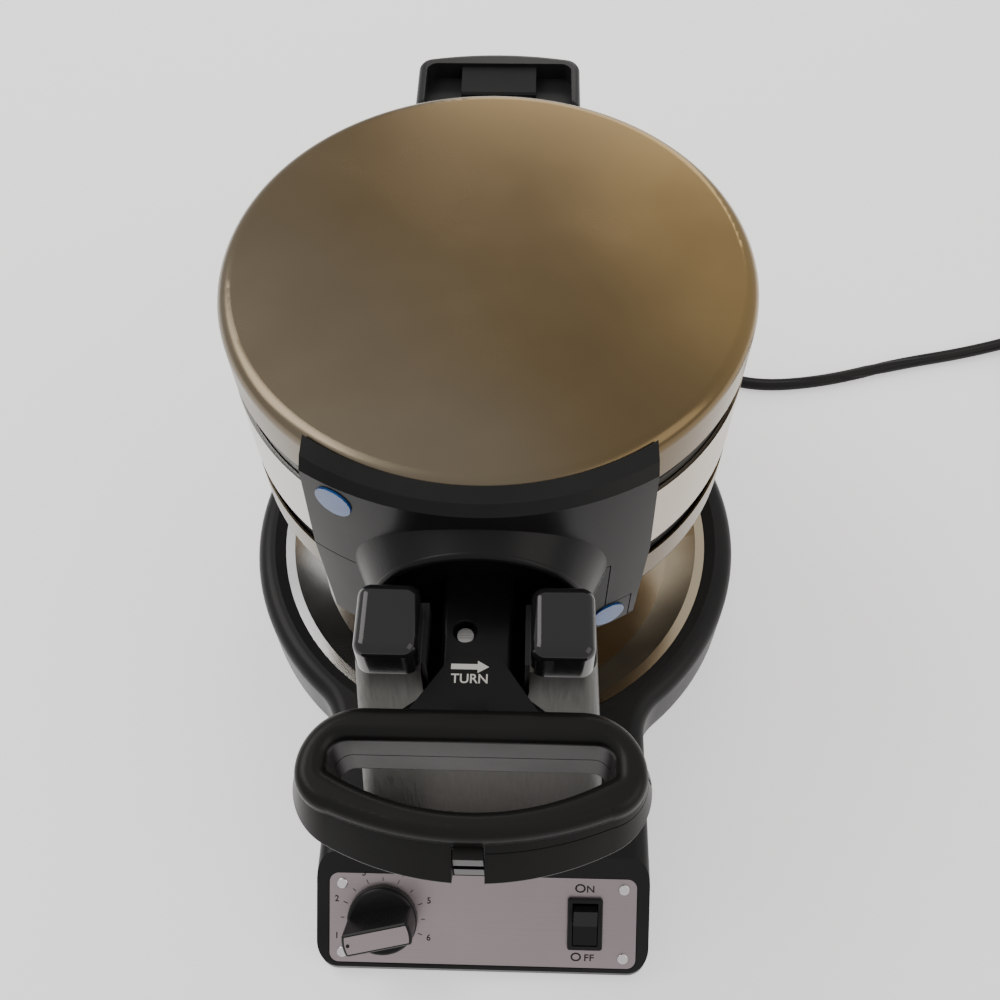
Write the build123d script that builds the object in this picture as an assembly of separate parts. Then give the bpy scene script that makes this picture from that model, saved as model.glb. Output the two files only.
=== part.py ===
from build123d import *
import math
import os

# A rotary double waffle maker, in millimetres. Round base with a drip tray, a control housing in front,
# a front pedestal with an open cradle, a rear tower with a bearing, and a head that turns in them.

# base
ring_r = 120.65
foot_h = 3.0
base_top_z = 38.0
wall = 3.0
ext_half_w = 71.5
front_y = -205.5
rear_y = 163.0
rear_half_w = 44.0
corner_r = 9.0
waist_r = 24.0
top_edge_r = 7.0
cover_t = 1.2
boss_r = 5.0
foot_r = 9.0
foot_spots = [(-84.0, 52.0), (84.0, 52.0), (-56.0, -172.0), (56.0, -172.0)]

# sloped control face
slope_deg = 37.0
slope_low_z = 7.5
plate_w = 132.0
plate_h = 39.5
plate_t = 0.8
plate_sink = 1.0
plate_along = 21.7
plate_corner = 4.0
rivet_r = 2.3
rivet_h = 0.7

# drip tray and its well
tray_r = 106.5
tray_z = 34.2
tray_t = 0.8
tray_floor_z = 25.0
well_floor_z = 13.0
well_in = 3.0
well_r = tray_r - well_in
seat_w = 3.4

# turning axis and head
axis_z = 174.0
lid_r = 100.0
head_half = 49.5
rim_r = 6.0
sheet = 0.8
ring_half = 18.0
parting = 23.0
seam = 0.4
flange_play = 1.0
flange_w = 6.2
wall_t = 4.0
flange_r = lid_r - sheet - flange_play
plate_r = flange_r - flange_w
cavity_r = plate_r - wall_t
floor_r = cavity_r - wall_t
plate_back = 3.4
plate_floor = 10.0
flange_t = 4.6
stud = 8.6
stud_h = 9.0
stud_pitch = 15.5
stud_draft = 11.0
element_r = 2.8
element_ring_r = 62.0

# black front mouldings
panel_out = 9.0
panel_r = lid_r + panel_out
panel_t = 3.0
crease = 46.8
band_top = 50.0
panel_top_w = 58.6
panel_mid_w = 60.5
gap = 0.5
wall_fit = 0.4
lens_r = 6.8
lens_z = 38.5
lens_x = 47.8
collar_out = 46.0
tab_margin = 1.5
tab_x = lens_x + lens_r + tab_margin
tab_z = lens_z - lens_r - tab_margin
collar_ridge = 36.5
collar_in = 29.0
collar_y = -117.5
hub_floor_y = -107.0

# necks and handles
neck_half_w = 12.0
neck_half_h = 9.5
flare_y = -149.0
flare_half_w = 26.0
screw_x = -4.0
screw_y = -130.0
loop_back_y = -159.5
loop_front_y = -209.8
loop_half_w = 57.0
loop_straight = 37.0
loop_shoulder_y = -199.0
loop_flare = 8.6
loop_side_flare = 2.5
loop_half_h = 16.5
tube_low = 10.5
tube_edge_r = 4.1
finger_back_y = -170.2
finger_front_y = -192.0
finger_half_w = 44.5
finger_side_y = -180.0
finger_r = 6.0
lip_h = 8.0
lip_fit = 0.35
lip_play = 1.1
lip_end_y = -178.0
notch_half = 5.0
tab_y = -205.0

# front pedestal and its cradle
column_back_y = -121.5
column_low = (51.5, -158.0)
column_high = (39.5, -146.0)
column_top_z = 187.0
column_edge_r = 5.0
cradle_r = 17.7
liner_t = 1.5
block_in = 17.9
block_out = 38.5
block_front_y = -147.5
block_top_z = 203.0
block_r = 4.5

# rear tower, shaft and hinges
tower_half_w = 37.0
tower_front_y = 121.0
tower_back_y = 159.0
tower_top_z = 200.0
tower_bow = 4.5
hood_t = 11.0
pocket_deep = 8.0
hood_panel_w = 34.0
bush_len = 13.0
bush_r = 13.0
collar_r = 12.5
shaft_r = 10.0
shaft_bore = 7.0
running_fit = 0.05
hinge_y = 108.0
hinge_z = 25.0
pin_r = 2.5
pin_half = 27.0
knuckle_r = 5.6
arm_half_w = 12.0

# controls
dial_x = -43.0
knob_r = 15.0
knob_h = 4.0
grip_w = 9.6
grip_h = 20.0
insert_w = 7.6
insert_t = 0.6
knob_turn_deg = 103.0
knob_shaft_r = 3.0
knob_bore = 7.0
control_r = 9.0
control_h = 9.0
rocker_x = 44.0
bezel_w = 15.0
bezel_h = 22.8
rocker_w = 10.2
rocker_h = 16.6
rocker_tilt = 12.0
rocker_pivot_w = -1.0
rocker_pin_r = 1.2

# power cord
cord_d = 7.0
exit_y = 140.0
exit_z = 12.0
relief_len = 30.0
route = [
    (74.0, 140.0, 12.0),
    (91.0, 140.0, 12.0),
    (114.0, 134.5, 5.6),
    (146.0, 121.5, 3.56),
    (188.0, 125.0, 3.6),
    (236.0, 140.0, 3.56),
    (281.0, 150.0, 3.6),
    (323.0, 163.0, 5.1),
    (351.0, 163.0, 5.1),
]
coil_pitch = 7.7
coil_r_out = 46.0
coil_exit_r = 50.8
tie_t = 1.0
tie_w = 9.0
plug_len = 34.0
plug_w = 25.0
blade_len = 17.0
blade_pitch = 12.7
blade_t = 1.5
blade_w = 6.4


def handle_front():
    """The y of the handle's foremost points, which are beside the notch in its middle."""
    return (loop_outline(0) - Rectangle(2 * notch_half, 500)).bounding_box().min.Y


def save(shape, name, origin_y):
    """Write one node, moved so that the origin is on the floor under the middle of the box."""
    export_step(Pos(0, -origin_y, 0) * shape, "parts/" + name + ".step")
    solids = shape.solids()
    print(name, "solids", len(solids), "volume", round(sum(s.volume for s in solids)))


def at_axis(shape):
    """Lift a head piece, drawn about the turning axis, to its height."""
    return Pos(0, 0, axis_z) * shape


def half_turn(shape):
    """The same piece turned half round the front to back axis."""
    return Rot(0, 180, 0) * shape


def turned(points):
    """A body of revolution about Z from (radius, height) points."""
    return revolve(Plane.XZ * make_face(Polyline(points, close=True)), Axis.Z)


def block(x0, x1, y0, y1, z0, z1):
    """A box between two corners."""
    size = Box(x1 - x0, y1 - y0, z1 - z0)
    return Pos((x0 + x1) / 2, (y0 + y1) / 2, (z0 + z1) / 2) * size


def along_y(radius, y0, y1, x=0.0, z=0.0):
    """A cylinder along Y."""
    return Pos(x, (y0 + y1) / 2, z) * Rot(90, 0, 0) * Cylinder(radius, y1 - y0)


def along_x(radius, x0, x1, y=0.0, z=0.0):
    """A cylinder along X."""
    return Pos((x0 + x1) / 2, y, z) * Rot(0, 90, 0) * Cylinder(radius, x1 - x0)


def side_prism(points, half_w):
    """A prism along X from a (y, z) outline."""
    return extrude(Plane.YZ * make_face(Polyline(points, close=True)), half_w, both=True)


def front_prism(points, y0, y1):
    """A prism along Y from an (x, z) outline."""
    upright = Plane(origin=(0, y1, 0), x_dir=(1, 0, 0), z_dir=(0, -1, 0))
    face = upright * make_face(Polyline(points, close=True))
    return extrude(face, y1 - y0, dir=(0, -1, 0))


# the control face's own frame: X to the right, Y up the slope, Z out of it
slope = math.radians(slope_deg)
face_y = front_y + plate_along * math.cos(slope)
face_z = slope_low_z + plate_along * math.sin(slope)
face_plane = Plane(origin=(0, face_y, face_z), x_dir=(1, 0, 0), z_dir=(0, -math.sin(slope), math.cos(slope)))
plate_top = plate_t - plate_sink
knob_foot = plate_top + 0.4


def on_face(shape):
    """Place a piece drawn in the control face's own frame."""
    return face_plane.location * shape


# base
def base_outline(inset):
    """Plan outline of the base: round ring, front housing and rear foot, with soft waists."""
    r = ring_r - inset
    w = ext_half_w - inset
    rw = rear_half_w - inset
    outline = Circle(r)
    outline += Pos(0, (front_y + inset) / 2) * Rectangle(2 * w, -front_y - inset)
    outline += Pos(0, (rear_y - inset) / 2) * Rectangle(2 * rw, rear_y - inset)
    front_waist = [v for v in outline.vertices() if abs(abs(v.X) - w) < 0.5 and front_y + inset + 1 < v.Y < 0]
    outline = fillet(front_waist, waist_r + inset)
    rear_waist = [v for v in outline.vertices() if abs(abs(v.X) - rw) < 0.5 and 0 < v.Y < rear_y - inset - 1]
    outline = fillet(rear_waist, waist_r / 2 + inset)
    corners = [v for v in outline.vertices() if v.Y < front_y + inset + 1 or v.Y > rear_y - inset - 1]
    return fillet(corners, corner_r - inset)


def above_slope(offset):
    """The space above the control face, moved out of it by an offset."""
    y0 = front_y - offset * math.sin(slope)
    z0 = slope_low_z + offset * math.cos(slope)
    low = (y0 - 60 * math.cos(slope), z0 - 60 * math.sin(slope))
    high = (y0 + 90 * math.cos(slope), z0 + 90 * math.sin(slope))
    return side_prism([low, high, (high[0], high[1] + 40), (low[0] - 20, high[1] + 40)], 100)


def base_housing():
    """The black moulded base with its tray well, sloped control face and cord hole."""
    body = Pos(0, 0, foot_h) * extrude(base_outline(0), base_top_z - foot_h)
    body = fillet(body.edges().group_by(Axis.Z)[-1], top_edge_r)
    body -= above_slope(0)
    inside = extrude(base_outline(wall), base_top_z - wall)
    inside -= above_slope(-wall)
    inside -= Pos(0, 0, well_floor_z - wall) * extrude(Circle(well_r + seat_w + 2 * wall), base_top_z)
    body -= inside
    seat_r = tray_r + 0.4
    seat_z = tray_z - tray_t
    body -= turned([(0, well_floor_z), (well_r, well_floor_z), (well_r, seat_z), (seat_r, seat_z),
                    (seat_r, tray_z + 0.3), (seat_r + 4.5, base_top_z), (seat_r + 4.5, base_top_z + 5),
                    (0, base_top_z + 5)])
    seat = extrude(plate_sketch(0.3), plate_sink + 5, both=False)
    body -= on_face(seat.moved(Location((0, 0, -plate_sink))))
    body -= on_face(Pos(dial_x, 0, 0) * Cylinder(knob_shaft_r + 0.6, 30))
    body -= on_face(Pos(rocker_x, 0, 0) * Box(bezel_w - 1.2, bezel_h - 1.4, 30))
    for x, y in foot_spots:
        top = well_floor_z if y > 0 else base_top_z - wall - 9
        body += Pos(x, y, (foot_h + cover_t + top) / 2) * Cylinder(boss_r, top - foot_h - cover_t)
    body -= along_x(5.0, rear_half_w - 8, rear_half_w + 5, y=exit_y, z=exit_z)
    return body


def plate_sketch(grow):
    """Outline of the control plate, or of its recess."""
    return RectangleRounded(plate_w + 2 * grow, plate_h + 2 * grow, plate_corner + grow)


def bottom_cover():
    """The steel plate that closes the base from below."""
    return Pos(0, 0, foot_h) * extrude(base_outline(wall + 0.4), cover_t)


def rubber_feet():
    """Four rubber feet under the bottom plate."""
    feet = [Pos(x, y, foot_h / 2) * Cylinder(foot_r, foot_h) for x, y in foot_spots]
    return Compound(children=feet)


def drip_tray():
    """The removable stainless pan that lies in the ring."""
    t = tray_t
    slope_in = tray_r - seat_w - 0.6
    return turned([(0, tray_floor_z), (slope_in - 14, tray_floor_z), (slope_in, tray_z - t), (tray_r, tray_z - t),
                   (tray_r, tray_z), (slope_in - 0.5, tray_z), (slope_in - 14.4, tray_floor_z + t),
                   (0, tray_floor_z + t)])


# controls
def control_plate():
    """The silver plate with holes for the dial shaft and the switch."""
    plate = Pos(0, 0, -plate_sink) * extrude(plate_sketch(0), plate_t)
    plate -= Pos(dial_x, 0, 0) * Cylinder(knob_shaft_r + 0.6, 10)
    plate -= Pos(rocker_x, 0, 0) * Box(bezel_w - 1.2, bezel_h - 1.4, 10)
    return on_face(plate)


def rivet_spots():
    """The four corner fasteners of the control plate."""
    x = plate_w / 2 - 5.5
    y = plate_h / 2 - 4.5
    return [(-x, y), (x, y), (-x, -y), (x, -y)]


def plate_rivets():
    """Four domed rivets on the plate's corners."""
    rivets = []
    for x, y in rivet_spots():
        rivet = Pos(x, y, plate_top + rivet_h / 2) * Cylinder(rivet_r, rivet_h)
        rivet = fillet(rivet.edges().group_by(Axis.Z)[-1], 0.5)
        rivets.append(on_face(rivet))
    return Compound(children=rivets)


def dial_control():
    """The thermostat control behind the dial, with the shaft that the knob turns on."""
    back = -wall
    top = knob_foot + knob_bore - 0.4
    body = Pos(dial_x, 0, back - control_h / 2) * Cylinder(control_r, control_h)
    shaft = Pos(dial_x, 0, (back + top) / 2) * Cylinder(knob_shaft_r, top - back)
    return on_face(body + shaft)


def grip_bar(width, inset, low, high):
    """The bar across the knob between two heights, its ends round with the skirt."""
    bar = Pos(0, 0, (low + high) / 2) * Box(width, 2 * knob_r, high - low)
    return bar & Pos(0, 0, (low + high) / 2) * Cylinder(knob_r - inset, high - low)


def dial_knob():
    """The black dial knob: a round skirt with a tall grip bar across it."""
    skirt = Pos(0, 0, knob_h / 2) * Cylinder(knob_r, knob_h)
    skirt = fillet(skirt.edges().group_by(Axis.Z)[-1], 1.6)
    bar = grip_bar(grip_w, 0.4, knob_h - 1.5, grip_h)
    bar = fillet(bar.edges().filter_by(Axis.Z), 1.2)
    bar = chamfer(bar.edges().group_by(Axis.Z)[-1], 0.6)
    bar -= grip_bar(insert_w, (grip_w - insert_w) / 2 + 0.4, grip_h - insert_t, grip_h + 1)
    knob = skirt + bar
    knob -= Cylinder(knob_shaft_r + running_fit, 2 * knob_bore)
    return on_face(Pos(dial_x, 0, knob_foot) * Rot(0, 0, knob_turn_deg) * knob)


def knob_insert():
    """The silver strip let into the top of the grip bar."""
    strip = grip_bar(insert_w - 0.2, (grip_w - insert_w) / 2 + 0.5, grip_h - insert_t, grip_h + 0.1)
    return on_face(Pos(dial_x, 0, knob_foot) * Rot(0, 0, knob_turn_deg) * strip)


def switch_bezel():
    """The switch body: a rim on the plate and a cup that the rocker tilts in."""
    rim = Pos(0, 0, plate_top + 0.9) * Box(bezel_w, bezel_h, 1.8)
    rim = fillet(rim.edges().filter_by(Axis.Z), 1.2)
    rim = chamfer(rim.edges().group_by(Axis.Z)[-1], 0.5)
    cup = Pos(0, 0, plate_top - 5.5) * Box(bezel_w - 1.6, bezel_h - 1.8, 11)
    body = rim + cup
    body -= Pos(0, 0, 5 - 8) * Box(rocker_w + 0.8, bezel_h - 3.8, 14)
    body -= along_x(rocker_pin_r + running_fit, -6.3, 6.3, z=rocker_pivot_w)
    return on_face(Pos(rocker_x, 0, 0) * body)


def switch_rocker():
    """The rocker, with the half marked OFF pressed in."""
    h = rocker_h / 2
    top = 3.2
    outline = [(-h, top), (0, top - 1.5), (h, top), (h - 0.2, -1.5),
               (4.6, -5.0), (-4.6, -5.0), (-h + 0.2, -1.5)]
    body = side_prism(outline, rocker_w / 2)
    body += along_x(rocker_pin_r, -6.2, 6.2, z=rocker_pivot_w)
    body = Pos(0, 0, rocker_pivot_w) * Rot(rocker_tilt, 0, 0) * Pos(0, 0, -rocker_pivot_w) * body
    return on_face(Pos(rocker_x, 0, 0) * body)


def control_board():
    """The circuit board on posts, with its relay and terminal block."""
    low = foot_h + cover_t
    board = block(-34, 34, -158, -122, 12, 13.6)
    for x in (-30, 30):
        for y in (-154, -126):
            board += Pos(x, y, (low + 12) / 2) * Cylinder(2.5, 12 - low)
    board += block(-26, -8, -150, -134, 13.6, 25)
    board += block(4, 30, -146, -136, 13.6, 23)
    return board


# front pedestal
def column_form(inset):
    """The tapered column, drawn in by an inset."""
    low_w, low_y = column_low
    high_w, high_y = column_high
    z0 = base_top_z
    z1 = column_top_z
    front = front_prism([(-low_w + inset, z0), (low_w - inset, z0), (high_w - inset, z1),
                         (-high_w + inset, z1)], -180, -100)
    back = column_back_y - inset
    side = side_prism([(low_y + inset, z0), (back, z0), (back, z1), (high_y + inset, z1)], 100)
    return front & side


def front_pedestal():
    """The grey column in front, with a round cradle open at the top."""
    column = column_form(0)
    front_edges = [e for e in column.edges()
                   if abs(e.center().X) > 30 and e.center().Y < -140 and e.length > 100]
    column = fillet(front_edges, column_edge_r)
    floor_z = axis_z - cradle_r - 8
    column -= column_form(2.5) & block(-100, 100, -200, 0, base_top_z - 1, floor_z)
    column -= along_y(cradle_r, -200, -100, z=axis_z)
    column -= block(-cradle_r, cradle_r, -200, -100, axis_z, axis_z + 50)
    return column


def cradle_liner():
    """The nylon half bush that lines the cradle."""
    y0 = column_high[1] + 2.5
    y1 = column_back_y
    r = cradle_r - 0.05
    liner = along_y(r, y0, y1, z=axis_z) + block(-r, r, y0, y1, axis_z, column_top_z)
    liner -= along_y(r - liner_t, y0 - 1, y1 + 1, z=axis_z)
    liner -= block(-r + liner_t, r - liner_t, y0 - 1, y1 + 1, axis_z, column_top_z + 1)
    return liner - block(-50, 50, y0 - 1, y1 + 1, column_top_z, column_top_z + 40)


def cradle_block(side):
    """One of the two glossy black blocks on the arms of the cradle."""
    x0 = min(side * block_in, side * block_out)
    cap = block(x0, x0 + block_out - block_in, block_front_y, column_back_y - 0.5, column_top_z, block_top_z)
    cap = fillet(cap.edges().filter_by(Axis.Z), block_r)
    return fillet(cap.edges().group_by(Axis.Z)[-1], block_r - 0.7)


def pedestal_screws():
    """Two small screws in the face of the column."""
    low_w, low_y = column_low
    high_w, high_y = column_high
    z = 150.0
    part_way = (z - base_top_z) / (column_top_z - base_top_z)
    y = low_y + (high_y - low_y) * part_way
    screws = [along_y(2.2, y - 1.2, y - 0.4, x=x, z=z) for x in (-30.0, 30.0)]
    return Compound(children=screws)


# rear tower
def rear_tower():
    """The black rear tower: hollow, bowed at the back, with a bearing boss and an open hood on top."""
    z0 = base_top_z
    w = tower_half_w
    rear = Line((-w, tower_front_y), (w, tower_front_y))
    rear += Line((w, tower_front_y), (w, tower_back_y - tower_bow))
    rear += ThreePointArc((w, tower_back_y - tower_bow), (0, tower_back_y), (-w, tower_back_y - tower_bow))
    rear += Line((-w, tower_back_y - tower_bow), (-w, tower_front_y))
    tower = Pos(0, 0, z0) * extrude(make_face(rear), tower_top_z - z0)
    tower = fillet([e for e in tower.edges().filter_by(Axis.Z) if e.center().Y > 140], 7)
    tower = fillet(tower.edges().group_by(Axis.Z)[-1], 3.5)
    inside = block(-w + wall, w - wall, tower_front_y + wall, tower_back_y - tower_bow - wall,
                   z0 - 1, tower_top_z - hood_t)
    inside -= along_y(bush_r + 5, tower_front_y, tower_front_y + bush_len, z=axis_z)
    tower -= inside
    tower -= along_y(bush_r, tower_front_y - 1, tower_front_y + bush_len + 1, z=axis_z)
    hood = block(-w + 4, w - 4, tower_front_y - 1, tower_back_y - 8.5,
                 tower_top_z - pocket_deep, tower_top_z + 1)
    tower -= fillet([e for e in hood.edges().filter_by(Axis.Z) if e.center().Y > 140], 5)
    front = tower_front_y + 14
    back = tower_back_y - 7
    panel = side_prism([(front, tower_top_z - pocket_deep - 0.5), (back, tower_top_z - pocket_deep - 0.5),
                        (back, tower_top_z - 1.5), (front, tower_top_z - 4.5)], hood_panel_w / 2)
    return tower + chamfer(panel.edges().filter_by(Axis.X).sort_by(Axis.Z)[-2:], 0.8)


def rear_bush():
    """The bearing bush in the tower, which carries the head's shaft."""
    y0 = tower_front_y
    bush = along_y(bush_r, y0, y0 + bush_len, z=axis_z)
    return bush - along_y(shaft_r + running_fit, y0 - 1, y0 + bush_len + 1, z=axis_z)


# middle of the head
def middle_ring():
    """The wide stainless band round the middle of the head."""
    outer = Cylinder(lid_r, 2 * ring_half)
    return outer - Cylinder(lid_r - 1.4, 2 * ring_half + 1)


def waffle_plate():
    """The floor of a cast plate that faces up, with its square studs and its cross."""
    plate = turned([(0, plate_back), (floor_r, plate_back), (floor_r, plate_floor), (0, plate_floor)])
    spots = []
    reach = int(cavity_r / stud_pitch) + 1
    for i in range(-reach, reach):
        for j in range(-reach, reach):
            x = (i + 0.5) * stud_pitch
            y = (j + 0.5) * stud_pitch
            if math.hypot(abs(x) + stud / 2, abs(y) + stud / 2) < cavity_r - 5:
                spots.append((x, y))
    studs = Sketch() + [Pos(x, y) * Rectangle(stud, stud) for x, y in spots]
    studs = extrude(Pos(0, 0, plate_floor - 0.5) * studs, stud_h + 0.5, taper=stud_draft)
    plate += studs
    cross = block(-floor_r + 1, floor_r - 1, -1.5, 1.5, plate_floor - 0.5, plate_floor + 3)
    plate += cross + Rot(0, 0, 90) * cross
    return plate


def plate_rim():
    """The rim of a cast plate that faces up: the cavity's wall and the outer flange."""
    rim = parting - seam
    return turned([(floor_r, plate_back), (plate_r, plate_back), (plate_r, rim - flange_t),
                   (flange_r, rim - flange_t), (flange_r, rim), (cavity_r, rim), (cavity_r - 3, plate_floor),
                   (floor_r, plate_floor)])


def facing_down(shape):
    """The plate above the parting that faces the same cavity from the lid."""
    return Pos(0, 0, 2 * parting) * Rot(180, 0, 0) * shape


def heating_element(z):
    """A tubular heating element bent to most of a circle, at a height."""
    section = Plane(origin=(element_ring_r, 0, z), x_dir=(1, 0, 0), z_dir=(0, -1, 0)) * Circle(element_r)
    return Rot(0, 0, 120) * revolve(section, Axis.Z, 300)


def plate_spacers():
    """Three spacers between the two middle plates."""
    spots = [(36 * math.cos(a), 36 * math.sin(a)) for a in (math.radians(d) for d in (30, 150, 270))]
    return Compound(children=[Pos(x, y, 0) * Cylinder(4, 2 * plate_back) for x, y in spots])


def thermal_fuse():
    """The thermal cut-out between the middle plates."""
    return Pos(0, 78, 0) * Box(22, 7, 2 * plate_back)


def hinge_block():
    """The steel block behind the ring, with two pairs of knuckles for the lids."""
    y0 = lid_r - 1.0
    body = block(-30, 30, y0, hinge_y + 6, -17.5, 17.5)
    for z in (-hinge_z, hinge_z):
        for x0, x1 in ((-26.5, -12.6), (12.6, 26.5)):
            body += along_x(knuckle_r, x0, x1, y=hinge_y, z=z)
            body += block(x0, x1, hinge_y - knuckle_r + 0.5, hinge_y + knuckle_r - 0.5, min(z, 0), max(z, 0))
        body -= along_x(pin_r, -40, 40, y=hinge_y, z=z)
    body -= Cylinder(lid_r + 0.05, 60)
    return body


def head_shaft():
    """The hollow steel shaft behind the head."""
    y1 = tower_front_y + bush_len + 7
    return along_y(shaft_r, hinge_y + 6, y1) - along_y(shaft_bore, hinge_y, y1 + 1)


def shaft_collar():
    """The collar that keeps the shaft in its bush."""
    y0 = tower_front_y + bush_len + 0.4
    return along_y(collar_r, y0, y0 + 4) - along_y(shaft_r, y0 - 1, y0 + 5)


def hinge_pin():
    """A steel pin through the knuckles of one lid."""
    return along_x(pin_r, -pin_half, pin_half, y=hinge_y, z=hinge_z)


# lids
def lid_cover():
    """The drawn stainless cover of a lid."""
    low = parting + seam + flange_t
    outer = Cylinder(lid_r, head_half - low)
    outer = fillet(outer.edges().group_by(Axis.Z)[-1], rim_r)
    inner = Pos(0, 0, -sheet) * Cylinder(lid_r - sheet, head_half - low)
    inner = fillet(inner.edges().group_by(Axis.Z)[-1], rim_r - sheet)
    return Pos(0, 0, (head_half + low) / 2) * (outer - inner)


def lid_thermostat():
    """The thermostat disc on the back of a lid's plate."""
    z0 = 2 * parting - plate_back
    return Pos(30, -12, z0 + 2.6) * Cylinder(8, 5.2)


def hinge_arm():
    """The lid's hinge arm, from its rear skirt to its pin."""
    low = parting + seam + flange_t
    outline = [(lid_r - 2, low + 6), (lid_r - 2, head_half - rim_r - 2), (lid_r + 4, head_half - rim_r - 4),
               (hinge_y + 5.5, hinge_z + 1), (hinge_y - 4.4, hinge_z + 3.6), (lid_r + 1.5, low + 6)]
    arm = side_prism(outline, arm_half_w)
    arm += along_x(knuckle_r, -arm_half_w, arm_half_w, y=hinge_y, z=hinge_z)
    arm -= along_x(pin_r + running_fit, -40, 40, y=hinge_y, z=hinge_z)
    return arm - Cylinder(lid_r + 0.02, 200)


# black front mouldings
def panel_silhouette(z0, z1):
    """The panel's front outline between two heights, as a prism along Y."""
    def half_w(z):
        return panel_mid_w + (panel_top_w - panel_mid_w) * min(abs(z) / crease, 1)
    levels = [z0] + [z for z in (-crease, 0, crease) if z0 < z < z1] + [z1]
    right = [(half_w(z), z) for z in levels]
    left = [(-half_w(z), z) for z in reversed(levels)]
    return front_prism(right + left, -140, -60)


def sector(r_in, r_out, z0, z1):
    """A curved wall of the panel between two radii and heights."""
    h = z1 - z0
    wall_ring = Pos(0, 0, (z0 + z1) / 2) * (Cylinder(r_out, h) - Cylinder(r_in, h + 1))
    return wall_ring & panel_silhouette(z0, z1)


def collar():
    """The bell-shaped collar round the neck, about the turning axis."""
    ridge = (collar_ridge, collar_y)
    base = (collar_out, -97.0)
    curve = Line((0, -97.0), base)
    curve += ThreePointArc(base, (collar_ridge + 3.4, -110.0), (collar_ridge + 1.2, collar_y + 1.6))
    curve += ThreePointArc((collar_ridge + 1.2, collar_y + 1.6), ridge, (collar_ridge - 2.2, collar_y + 0.9))
    curve += Line((collar_ridge - 2.2, collar_y + 0.9), (collar_in, hub_floor_y))
    curve += Line((collar_in, hub_floor_y), (0, hub_floor_y))
    curve += Line((0, hub_floor_y), (0, -97.0))
    return revolve(make_face(curve), Axis.Y)


def panel_shell():
    """Wall and collar of both mouldings together, hollow inside the collar."""
    shell = sector(panel_r - panel_t, panel_r, -crease, crease)
    shell += collar() - Cylinder(panel_r - panel_t, 200)
    shell -= along_y(collar_in, collar_y - 3, hub_floor_y)
    return shell


def band():
    """The top band, from the lid's rounded rim out to the crease, and its seat on the lid."""
    shape = sector(lid_r - 1.4, panel_r, crease, band_top)
    shape = shape & Pos(0, 0, (crease + band_top) / 2) * Cone(panel_r + 0.8, panel_r - 3.5, band_top - crease)
    low = parting + seam + flange_t + 1
    shape += sector(lid_r, panel_r - panel_t + 0.2, low, crease + 0.2)
    lid = Cylinder(lid_r + 0.02, 2 * head_half)
    return shape - fillet(lid.edges().group_by(Axis.Z)[-1], rim_r)


def lens_cut(side, grow):
    """A round prism through the wall at one lens, pointing outwards."""
    y = -math.sqrt(panel_r ** 2 - lens_x ** 2)
    angle = math.degrees(math.atan2(y, side * lens_x))
    rod = Pos(panel_r - 1.2, 0, 0) * Rot(0, 90, 0) * Cylinder(lens_r + grow, 4.4 if grow == 0 else 16)
    return Pos(0, 0, -side * lens_z) * Rot(0, 0, angle) * rod


def upper_front_panel():
    """The upper lid's moulding: band, upper wall, half collar and the right wall beside the collar."""
    keep = block(-80, 80, -140, -60, gap / 2, 60)
    keep += block(collar_out + wall_fit, 80, -140, -60, -tab_z, gap / 2)
    keep += block(tab_x + wall_fit, 80, -140, -60, -crease, -tab_z)
    panel = panel_shell() & keep
    panel += band()
    return panel - lens_cut(-1, 0.1)


def lower_front_panel():
    """The lower lid's moulding: bottom band, lower wall, half collar and a tab round its lens."""
    keep = block(-80, collar_out, -140, -60, -60, -gap / 2)
    keep += block(collar_out, tab_x, -140, -60, -60, -tab_z - wall_fit)
    keep += along_y(collar_out, -145, -55) & block(-80, 80, -145, -55, -60, -gap / 2)
    panel = panel_shell() & keep
    low_band = half_turn(band())
    room = sector(panel_r - panel_t - 0.4, panel_r + 2, -crease - 0.4, 10)
    beside_wall = block(tab_x, 80, -140, -60, -60, 60)
    beside_wall += block(collar_out, 80, -140, -60, -tab_z - wall_fit, 60)
    low_band -= room & beside_wall
    return panel + low_band - lens_cut(1, 0.1)


def lens(side):
    """One translucent signal lens."""
    return lens_cut(side, 0) & Cylinder(panel_r + 0.7, 200)


# necks and handles
def upper_neck():
    """The upper half of the neck, with its raised plinth and screw recess."""
    y1 = loop_back_y
    plan = [(-neck_half_w, hub_floor_y), (neck_half_w, hub_floor_y), (neck_half_w, flare_y),
            (flare_half_w, y1), (-flare_half_w, y1), (-neck_half_w, flare_y)]
    neck = extrude(make_face(Polyline(plan, close=True)), neck_half_h)
    neck -= block(-60, 60, -200, -60, -1, gap / 2)
    edges = [e for e in neck.edges().group_by(Axis.Z)[-1] if abs(e.center().X) > 5]
    neck = fillet(edges, 2.0)
    plinth = [(-8, -140), (8, -140), (flare_half_w - 5, y1 + 0.5), (-flare_half_w + 5, y1 + 0.5)]
    neck += Pos(0, 0, neck_half_h - 0.5) * extrude(make_face(Polyline(plinth, close=True)), 2.0)
    neck -= Pos(screw_x, screw_y, neck_half_h - 2) * Cylinder(4.2, 8)
    flange = along_y(collar_in - 0.6, hub_floor_y - 2.2, hub_floor_y)
    neck += flange & block(-60, 60, -200, -60, gap / 2, 60)
    return neck


def neck_screw():
    """The screw at the bottom of the neck's recess."""
    head = Pos(screw_x, screw_y, neck_half_h - 6 + 1.2) * Cylinder(2.8, 2.4)
    return head - Pos(screw_x, screw_y, neck_half_h - 6 + 2.4) * Box(4, 0.8, 1.2)


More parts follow.
